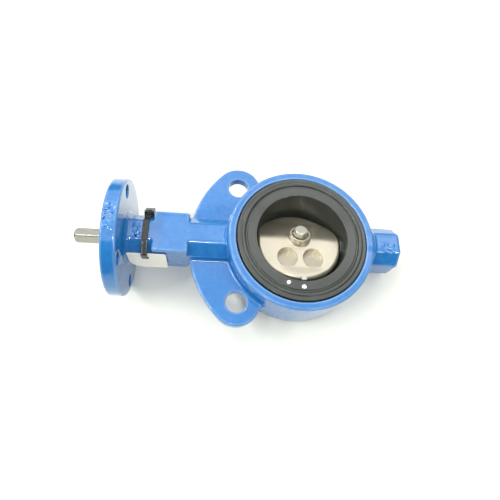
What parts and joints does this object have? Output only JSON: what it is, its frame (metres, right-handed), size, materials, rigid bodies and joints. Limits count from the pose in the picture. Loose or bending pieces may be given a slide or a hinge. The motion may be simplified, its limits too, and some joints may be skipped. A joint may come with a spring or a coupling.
{
  "type": "wafer butterfly valve",
  "caption": "Wafer butterfly valve with a rubber seat, a plated disc on a square-ended stem, an octagonal neck, a round actuator pad and two flange-locating wings.",
  "frame": {"origin": "where the stem axis crosses the axis of the flow bore, midway between the pipe faces", "axes": "+Z along the flow bore, towards the face with the disc screw; -X along the stem towards the actuator pad and the square; +X towards the bottom boss"},
  "size_m": [0.2806, 0.1484, 0.1016],
  "materials": {
    "body_paint": "gloss enamel over as-cast iron",
    "seat_rubber": "matte moulded EPDM",
    "seal_rubber": "matte",
    "backing_phenolic": "matte",
    "bushing_plastic": "matte",
    "collar_brass": "satin",
    "ring_steel": "satin",
    "tie_nylon": "satin",
    "tag_plastic": "matte",
    "disc_nickel": "nickel plate over a cast and machined disc, satin",
    "stem_steel": "satin",
    "screw_steel": "satin",
    "washer_steel": "satin"
  },
  "bodies": {
    "housing": {"valve_body": "body_paint", "seat_liner": "seat_rubber", "seat_backing_ring": "backing_phenolic", "seat_stem_o_ring_upper": "seal_rubber", "seat_stem_o_ring_lower": "seal_rubber", "lower_neck_bushing": "bushing_plastic", "upper_neck_bushing": "bushing_plastic", "bottom_bushing": "bushing_plastic", "stem_u_cup_seal": "seal_rubber", "stem_dust_o_ring": "seal_rubber", "thrust_washer": "collar_brass", "stem_retaining_ring": "ring_steel", "cable_tie": "tie_nylon", "blank_tag": "tag_plastic"},
    "disc_and_stem": {"disc": "disc_nickel", "stem": "stem_steel", "disc_screw": "screw_steel", "disc_screw_washer": "washer_steel", "disc_screw_o_ring": "seal_rubber", "stem_split_collar": "collar_brass"}
  },
  "joints": [
    {"name": "stem_turn", "type": "hinge", "parent": "housing", "child": "disc_and_stem", "pos_m": [0, 0, 0], "axis": [1, 0, 0], "range_deg": [-68, 22]}
  ]
}
